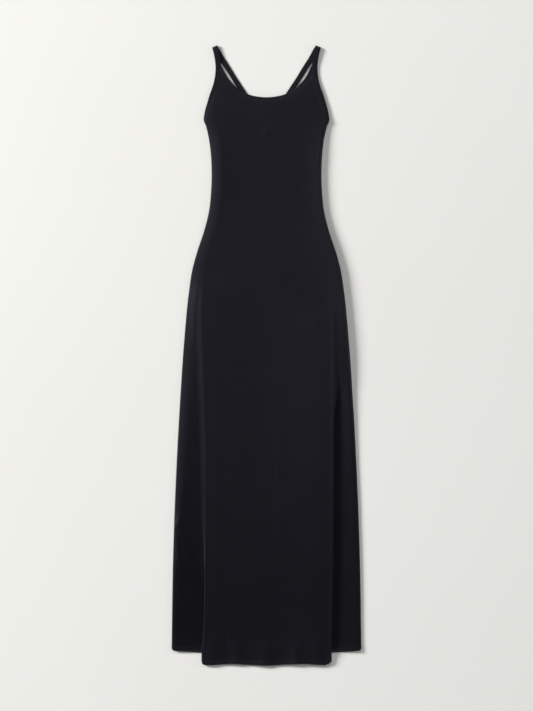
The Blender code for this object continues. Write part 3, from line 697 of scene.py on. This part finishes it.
# How much of it is pressed out at the seam, from which share of the width, and over how much
SEAM_PRESS, SEAM_PRESS_START, SEAM_PRESS_SPAN = 0.30, 0.70, 0.3
STITCH_PRESS = 0.26  # how much of it is pressed out under each row of stitches

STITCH_HALF = 0.41  # half the length of a stitch, as a share of the spacing
STITCH_RINGS = 5
STITCH_SIDES = 6
STITCH_ENDS = (0.02, 0.98)  # the places along a stitch between which its girth changes
# Rows of stitches.  spacing, radius of the thread, height over the cloth's middle as a share of its thickness
BAND_STITCHES = (0.0026, 0.00024, 0.38)
HEM_STITCHES = (0.0030, 0.00022, 0.47)
HEM_ROWS_UP = (HEM_DEPTH - 0.001, HEM_DEPTH - 0.0045)  # how far up from the hem its two rows run
TURNED_OVER = -0.5  # the upward part of a normal below which the cloth lies with its other face up
TINY = 1e-12


def both_sides(left, right):
    """One sheet from two halves that share their first column."""
    return np.concatenate([left[:, ::-1], right[:, 1:]], axis=1)


def new_object(name, points, faces, material):
    """A smooth object with its place in its mesh."""
    mesh = bpy.data.meshes.new(name)
    mesh.from_pydata(points.reshape(-1, 3).tolist(), [], faces)
    mesh.shade_smooth()
    mesh.materials.append(material)
    made = bpy.data.objects.new(name, mesh)
    bpy.context.scene.collection.objects.link(made)
    return made


def cloth_piece(name, sheet, thickness, share, material):
    """A wall of cloth over a grid of points: quads, a map in metres of cloth, and a Solidify modifier.

    share gives each point's part of the full thickness. The map holds the distance along each row and column.
    """
    rows, columns = sheet.shape[:2]
    index = np.arange(rows * columns).reshape(rows, columns)
    quads = np.stack([index[:-1, :-1], index[1:, :-1], index[1:, 1:], index[:-1, 1:]], axis=-1)
    piece = new_object(name, sheet, quads.reshape(-1, 4).tolist(), material)
    across = np.linalg.norm(np.diff(sheet, axis=1), axis=2).cumsum(axis=1)
    across = np.hstack([np.zeros((rows, 1)), across])
    across -= across[:, columns // 2][:, None]
    down = np.linalg.norm(np.diff(sheet, axis=0), axis=2).cumsum(axis=0)
    down = np.vstack([np.zeros((1, columns)), down])
    chart = np.stack([across, down], axis=-1).reshape(-1, 2)
    corners = np.empty(len(piece.data.loops), np.int32)
    piece.data.loops.foreach_get("vertex_index", corners)
    piece.data.uv_layers.new(name="cloth").data.foreach_set("uv", chart[corners].ravel())
    group = piece.vertex_groups.new(name="thickness")
    share = np.broadcast_to(share, (rows, columns)).ravel().clip(0, 1)
    for value in np.unique(share.round(2)):
        group.add(np.flatnonzero(share.round(2) == value).tolist(), float(value), "REPLACE")
    wall = piece.modifiers.new("wall", "SOLIDIFY")
    wall.thickness = thickness
    wall.offset = 0
    wall.use_even_offset = False
    wall.use_quality_normals = True
    wall.vertex_group = "thickness"
    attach(piece, "root")
    return piece


def band_share():
    """Thickness across a band: rounded at its free edge, pressed down at its seam and under its stitches."""
    share = EDGE_SHARE + (1 - EDGE_SHARE) * dome(ACROSS / EDGE_ROUND)
    share -= SEAM_PRESS * ease((ACROSS - SEAM_PRESS_START) / SEAM_PRESS_SPAN)
    share[list(STITCHED)] -= STITCH_PRESS
    return share


def normals(sheet, row, column):
    """Unit normals of a grid, the one at a row and column pointing up, and zero where the grid closes."""
    normal = np.cross(np.gradient(sheet, axis=0), np.gradient(sheet, axis=1))
    normal /= np.linalg.norm(normal, axis=2)[..., None] + TINY
    return normal * np.sign(normal[row, column, 2])


def stitch_row(line, up, spacing, thread):
    """Stitches along a line: each is a spindle of thread, laid on the cloth and arched over it.

    They are evenly spaced by length. A ring's radius follows the root of the sine of its place along the
    stitch, and its height follows the sine.
    """
    length = lengths(line)
    middles = (np.arange(int(length[-1] / spacing)) + 0.5) * spacing
    ends = read(line, middles[:, None] + np.array([-STITCH_HALF, STITCH_HALF]) * spacing, length)
    lift = unit(read(up, middles, length))
    run = ends[:, 1] - ends[:, 0]
    cross = unit(np.cross(run, lift))
    t = np.linspace(0, 1, STITCH_RINGS)
    a = np.linspace(0, 2 * np.pi, STITCH_SIDES + 1)[:-1]
    radius = thread * np.sqrt(np.sin(np.pi * t.clip(*STITCH_ENDS)))
    centre = ends[:, :1] + run[:, None] * t[:, None] + lift[:, None] * (np.sin(np.pi * t) * thread)[:, None]
    ring = (cross[:, None, None] * np.cos(a)[:, None] + lift[:, None, None] * np.sin(a)[:, None])
    return centre[:, :, None] + ring * radius[:, None, None]


def on_hem(sheet, up_from_hem, distance):
    """The line on a sheet at a distance up from its hem, read down each column."""
    columns = range(sheet.shape[1])
    return np.array([read(sheet[:, column], -distance, -up_from_hem[:, column]) for column in columns])


def thread_piece(name, rows, material):
    """All the stitches of a seam as one mesh: tubes of rings, closed at both ends."""
    rings = np.concatenate(rows)
    count, steps, sides = rings.shape[:3]
    index = np.arange(count * steps * sides).reshape(count, steps, sides)
    following = np.roll(index, -1, axis=2)
    walls = np.stack([index[:, :-1], following[:, :-1], following[:, 1:], index[:, 1:]], axis=-1)
    faces = walls.reshape(-1, 4).tolist() + index[:, 0, ::-1].tolist() + index[:, -1].tolist()
    piece = new_object(name, rings, faces, material)
    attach(piece, "root")
    return piece


# ---------------------------------------------------------------- materials

BLACK, WHITE = (0, 0, 0, 1), (1, 1, 1, 1)
COURSE_HEIGHT = 0.6  # height of a course as a share of a wale's
DRIFT, FUZZ = 0.8, 0.2  # how much of the colour's change is a slow drift, and how much is fuzz
KNIT_BUMP, FUZZ_BUMP = 0.35, 0.9  # how much of the bump is knit, and how much is fuzz
ROUGH_DRIFT = 0.04  # how much the roughness changes with the slow drift
# The cloth is rougher, and so paler, where it lies loose between waist and knee, and at the hem's edge.
# share of the length from the hem, looseness
SHEEN_ALONG = [
    (0.0, 0.55), (0.022, 0.50), (0.055, 0.0), (0.14, 0.0), (0.20, 0.16), (0.27, 0.38),
    (0.36, 0.64), (0.47, 0.94), (0.58, 1.0), (0.73, 0.86), (0.83, 0.70), (0.90, 0.60),
]
SHEEN_RANGE = 0.095  # how much smoother it is where it isn't loose at all
PRESSED = 0.080  # how much smoother again the left side portion is, which is pressed flat
PRESSED_FROM = (0.156, 0.170)  # where that begins and is full, in cloth out to the left from the centre line
# Seen along the cloth its loops hide each other, which spreads what they reflect
GRAZING_POWER, GRAZING_ROUGH = 2.0, 0.7
CLOTH_SHEEN = {
    "Metallic": 0,
    "Specular IOR Level": 0.32,
    "Sheen Weight": 0.03,
    "Sheen Roughness": 0.45,
    "Sheen Tint": (0.86, 0.84, 1.0, 1.0),
    "Specular Tint": (0.775, 0.74, 1.0, 1.0),
}


class Nodes:
    """Short ways to add and join shader nodes."""

    def __init__(self, name):
        self.material = bpy.data.materials.new(name)
        self.material.use_nodes = True
        self.tree = self.material.node_tree
        self.shader = self.tree.nodes["Principled BSDF"]
        self.place = self.add("ShaderNodeTexCoord").outputs["Object"]

    def add(self, kind, **values):
        """A node, with its settings and the values of its sockets given by name."""
        node = self.tree.nodes.new(kind)
        for key, value in values.items():
            if hasattr(node, key):
                setattr(node, key, value)
            else:
                node.inputs[key.replace("_", " ")].default_value = value
        return node

    def join(self, output, socket):
        self.tree.links.new(output, socket)

    def math(self, operation, a, b):
        """An operation on two numbers or outputs."""
        node = self.add("ShaderNodeMath", operation=operation)
        for socket, value in zip(node.inputs, (a, b)):
            if isinstance(value, (int, float)):
                socket.default_value = value
            else:
                self.join(value, socket)
        return node.outputs[0]

    def ramp(self, value, stops):
        """Colours blended along a value, from stops of a place and a colour."""
        node = self.add("ShaderNodeValToRGB")
        node.color_ramp.elements[0].position, node.color_ramp.elements[0].color = stops[0]
        node.color_ramp.elements[1].position, node.color_ramp.elements[1].color = stops[-1]
        for place, colour in stops[1:-1]:
            node.color_ramp.elements.new(place).color = colour
        self.join(value, node.inputs[0])
        return node.outputs[0]

    def noise(self, **values):
        """Noise over the piece's own place."""
        node = self.add("ShaderNodeTexNoise", **values)
        self.join(self.place, node.inputs["Vector"])
        return node.outputs[0]

    def bump(self, height, strength, distance):
        """The shader's bump, from a height."""
        node = self.add("ShaderNodeBump", Strength=strength, Distance=distance)
        self.join(height, node.inputs["Height"])
        self.join(node.outputs[0], self.shader.inputs["Normal"])


def knit_material(name, dark, light, roughness, wale, course, depth):
    """Fine jersey: wales and courses as bump on the cloth's own map, a slow drift in colour and a soft sheen.

    wale and course are the lengths of the knit's two sines, across and down the cloth. The roughness drifts,
    falls where the cloth is smoother, and rises where it is seen along.
    """
    n = Nodes(name)
    uv = n.add("ShaderNodeUVMap", uv_map="cloth").outputs[0]
    split = n.add("ShaderNodeSeparateXYZ")
    n.join(uv, split.inputs[0])
    across = n.math("SINE", n.math("MULTIPLY", split.outputs[0], 2 * np.pi / wale), 0)
    down = n.math("SINE", n.math("MULTIPLY", split.outputs[1], 2 * np.pi / course), 0)
    knit = n.math("ADD", across, n.math("MULTIPLY", down, COURSE_HEIGHT))
    drift = n.noise(Scale=11.0, Detail=3.0, Roughness=0.55)
    fuzz = n.noise(Scale=900.0, Detail=2.0, Roughness=0.6)
    mixed = n.math("ADD", n.math("MULTIPLY", drift, DRIFT), n.math("MULTIPLY", fuzz, FUZZ))
    n.join(n.ramp(mixed, [(0.25, dark), (0.75, light)]), n.shader.inputs["Base Color"])
    grain = n.math("ADD", n.math("MULTIPLY", knit, KNIT_BUMP), n.math("MULTIPLY", fuzz, FUZZ_BUMP))
    n.bump(grain, 0.35, depth)
    lengthwise = n.add("ShaderNodeSeparateXYZ")
    n.join(n.place, lengthwise.inputs[0])
    from_hem = n.math("DIVIDE", n.math("ADD", lengthwise.outputs[1], LENGTH - MIDDLE), LENGTH)
    stretch = n.ramp(from_hem, [(share, (loose, loose, loose, 1)) for share, loose in SHEEN_ALONG])
    leftwards = n.math("MULTIPLY", split.outputs[0], -1.0)
    pressed = n.ramp(leftwards, list(zip(PRESSED_FROM, (BLACK, WHITE))))
    span = n.math("ADD", n.math("MULTIPLY", pressed, PRESSED), SHEEN_RANGE)
    smoother = n.math("MULTIPLY", n.math("SUBTRACT", 1.0, stretch), span)
    drifted = n.math("ADD", n.math("MULTIPLY", drift, ROUGH_DRIFT), roughness - ROUGH_DRIFT / 2)
    facing = n.add("ShaderNodeLayerWeight", Blend=0.5).outputs["Facing"]
    grazing = n.math("MULTIPLY", n.math("POWER", facing, GRAZING_POWER), GRAZING_ROUGH)
    rough = n.math("ADD", n.math("SUBTRACT", drifted, smoother), grazing)
    n.join(rough, n.shader.inputs["Roughness"])
    for socket, value in CLOTH_SHEEN.items():
        n.shader.inputs[socket].default_value = value
    return n.material


def thread_material():
    """Spun black thread: a fine twist round each stitch."""
    n = Nodes("black_thread")
    twist = n.noise(Scale=2600.0, Detail=1.0)
    n.join(n.ramp(twist, [(0.3, (0.008, 0.0075, 0.010, 1)), (0.7, (0.020, 0.019, 0.024, 1))]),
           n.shader.inputs["Base Color"])
    n.bump(twist, 0.4, 0.0001)
    n.shader.inputs["Roughness"].default_value = 0.42
    return n.material


def floor_material():
    """Plain pale floor with a very faint mottle."""
    n = Nodes("pale_floor")
    mottle = n.noise(Scale=1.3, Detail=2.0)
    n.join(n.ramp(mottle, [(0.3, (0.877, 0.873, 0.843, 1)), (0.7, (0.889, 0.885, 0.857, 1))]),
           n.shader.inputs["Base Color"])
    n.shader.inputs["Roughness"].default_value = 0.95
    n.shader.inputs["Specular IOR Level"].default_value = 0.1
    return n.material


JERSEY_CLOTH = knit_material(
    "black_jersey_knit", dark=(0.0012, 0.0009, 0.0018, 1), light=(0.0020, 0.0016, 0.0028, 1),
    roughness=0.56, wale=0.0011, course=0.0009, depth=0.00025)
BINDING_CLOTH = knit_material(
    "black_binding_knit", dark=(0.0012, 0.0010, 0.0018, 1), light=(0.0024, 0.0020, 0.0032, 1),
    roughness=0.56, wale=0.0016, course=0.0012, depth=0.0004)
THREAD = thread_material()

# ---------------------------------------------------------------- the dress

left, left_up = front_half(FOLD_LEFT, BREAK_LEFT, -1)
right, right_up = front_half(FOLD_RIGHT, BREAK_RIGHT, 1)
front_sheet = both_sides(left, right)
front_up = both_sides(left_up, right_up)
# The hem is two thicknesses as far as it is turned up, and rounded at its edge
above_turn = ease((front_up - HEM_DEPTH) / HEM_STEP + 0.5)
hem_share = CLOTH / HEM_CLOTH + (1 - CLOTH / HEM_CLOTH) * (1 - above_turn)
lip_share, lip_length = HEM_LIP
hem_share *= lip_share + (1 - lip_share) * dome(front_up / lip_length)
front = cloth_piece("front_cloth", front_sheet, HEM_CLOTH, hem_share, JERSEY_CLOTH)
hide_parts("front")

back = cloth_piece("back_cloth", both_sides(back_half(-1), back_half(1)), JERSEY, BACK_SHARE, JERSEY_CLOTH)
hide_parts("back")

bands = {"neck_band": neck_band(), "strap_left": strap(-1), "strap_right": strap(1),
         "back_band_left": back_band(-1), "back_band_right": back_band(1)}
for node, sheet in bands.items():
    piece = cloth_piece(node + "_binding", sheet, BINDING, band_share(), BINDING_CLOTH)
    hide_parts(node)

# Two rows of stitches along every binding, and two along the front's hem
spacing, thread, raised = BAND_STITCHES
for node, sheet in bands.items():
    # A row that lies face up
    face_up = len(sheet) // 2 if node == "neck_band" else 5
    normal = normals(sheet, face_up, MIDDLE_COLUMN)
    rows = []
    for place in STITCHED:
        up = normal[:, place] * np.where(normal[:, place, 2:] < TURNED_OVER, -1, 1)
        rows.append(stitch_row(sheet[:, place] + up * BINDING * raised, up, spacing, thread))
    thread_piece(node + "_stitches", rows, THREAD)

spacing, thread, raised = HEM_STITCHES
normal = normals(front_sheet, YOKE_ROWS, front_sheet.shape[1] // 2)
rows = []
for distance in HEM_ROWS_UP:
    line, up = on_hem(front_sheet, front_up, distance), on_hem(normal, front_up, distance)
    rows.append(stitch_row(line + unit(up) * HEM_CLOTH * raised, up, spacing, thread))
thread_piece("front_hem_stitches", rows, THREAD)

# ---------------------------------------------------------------- floor, light and camera

scene = bpy.context.scene
scene.view_settings.view_transform = "Standard"

FLOOR_HALF = 9  # half the width of the floor
FLOOR_HEIGHT = -0.0002  # just under the cloth
corners = FLOOR_HALF * np.array([(-1, -1, 0), (1, -1, 0), (1, 1, 0), (-1, 1, 0)]) + (0, 0, FLOOR_HEIGHT)
floor = new_object("floor", corners, [(0, 1, 2, 3)], floor_material())

AMBIENT = 0.09  # share of the floor's light that comes evenly from all round
# Soft boxes round the floor, each facing its middle.  azimuth from +X, elevation, distance, width, height,
# share of the floor's light, colour
SOFT_BOXES = {
    "key_left": (157, 16, 12.0, 3.0, 2.6, 0.58, (1.0, 0.995, 0.985)),
    "fill_right": (8, 13, 11.0, 3.4, 2.4, 0.05, (1.0, 1.0, 0.99)),
    "top_end": (92, 33, 16.0, 6.0, 4.0, 0.14, (1.0, 1.0, 0.99)),
    "high_right": (0, 50, 9.0, 3.4, 3.4, 0.03, (0.98, 0.99, 1.0)),
    "foot_end": (272, 18, 9.0, 4.0, 2.0, 0.07, (1.0, 1.0, 1.0)),
}

world = bpy.data.worlds.new("studio")
world.use_nodes = True
world.node_tree.nodes["Background"].inputs["Color"].default_value = (1, 1, 1, 1)
world.node_tree.nodes["Background"].inputs["Strength"].default_value = AMBIENT
scene.world = world

# A box's power makes up for its distance and slant, so that it lights the floor's middle by its share
for name, (azimuth, elevation, distance, width, height, share, colour) in SOFT_BOXES.items():
    azimuth, elevation = np.radians(azimuth), np.radians(elevation)
    level = np.cos(elevation)
    away = np.array([np.cos(azimuth) * level, np.sin(azimuth) * level, np.sin(elevation)])
    data = bpy.data.lights.new(name, "AREA")
    data.shape = "RECTANGLE"
    data.size, data.size_y = width, height
    data.energy = share * np.pi**2 * distance**2 / np.sin(elevation)
    data.color = colour
    box = bpy.data.objects.new(name, data)
    box.location = away * distance
    box.rotation_euler = Vector(away).to_track_quat("Z", "Y").to_euler()
    scene.collection.objects.link(box)

FRAME_HEIGHT = 711 * 0.00242  # rows of the render, and the size of one on the dress
FRAME_CENTRE = np.array([0.00002, -0.00034, 0.004])  # the point that the camera looks straight down on
LENS = 100  # in millimetres
FAR = 60  # how far off the camera sees

camera_data = bpy.data.cameras.new("camera")
camera_data.lens = LENS
camera_data.clip_end = FAR
camera = bpy.data.objects.new("camera", camera_data)
scene.collection.objects.link(camera)
camera.location = FRAME_CENTRE + (0, 0, FRAME_HEIGHT * LENS / camera_data.sensor_width)
scene.camera = camera
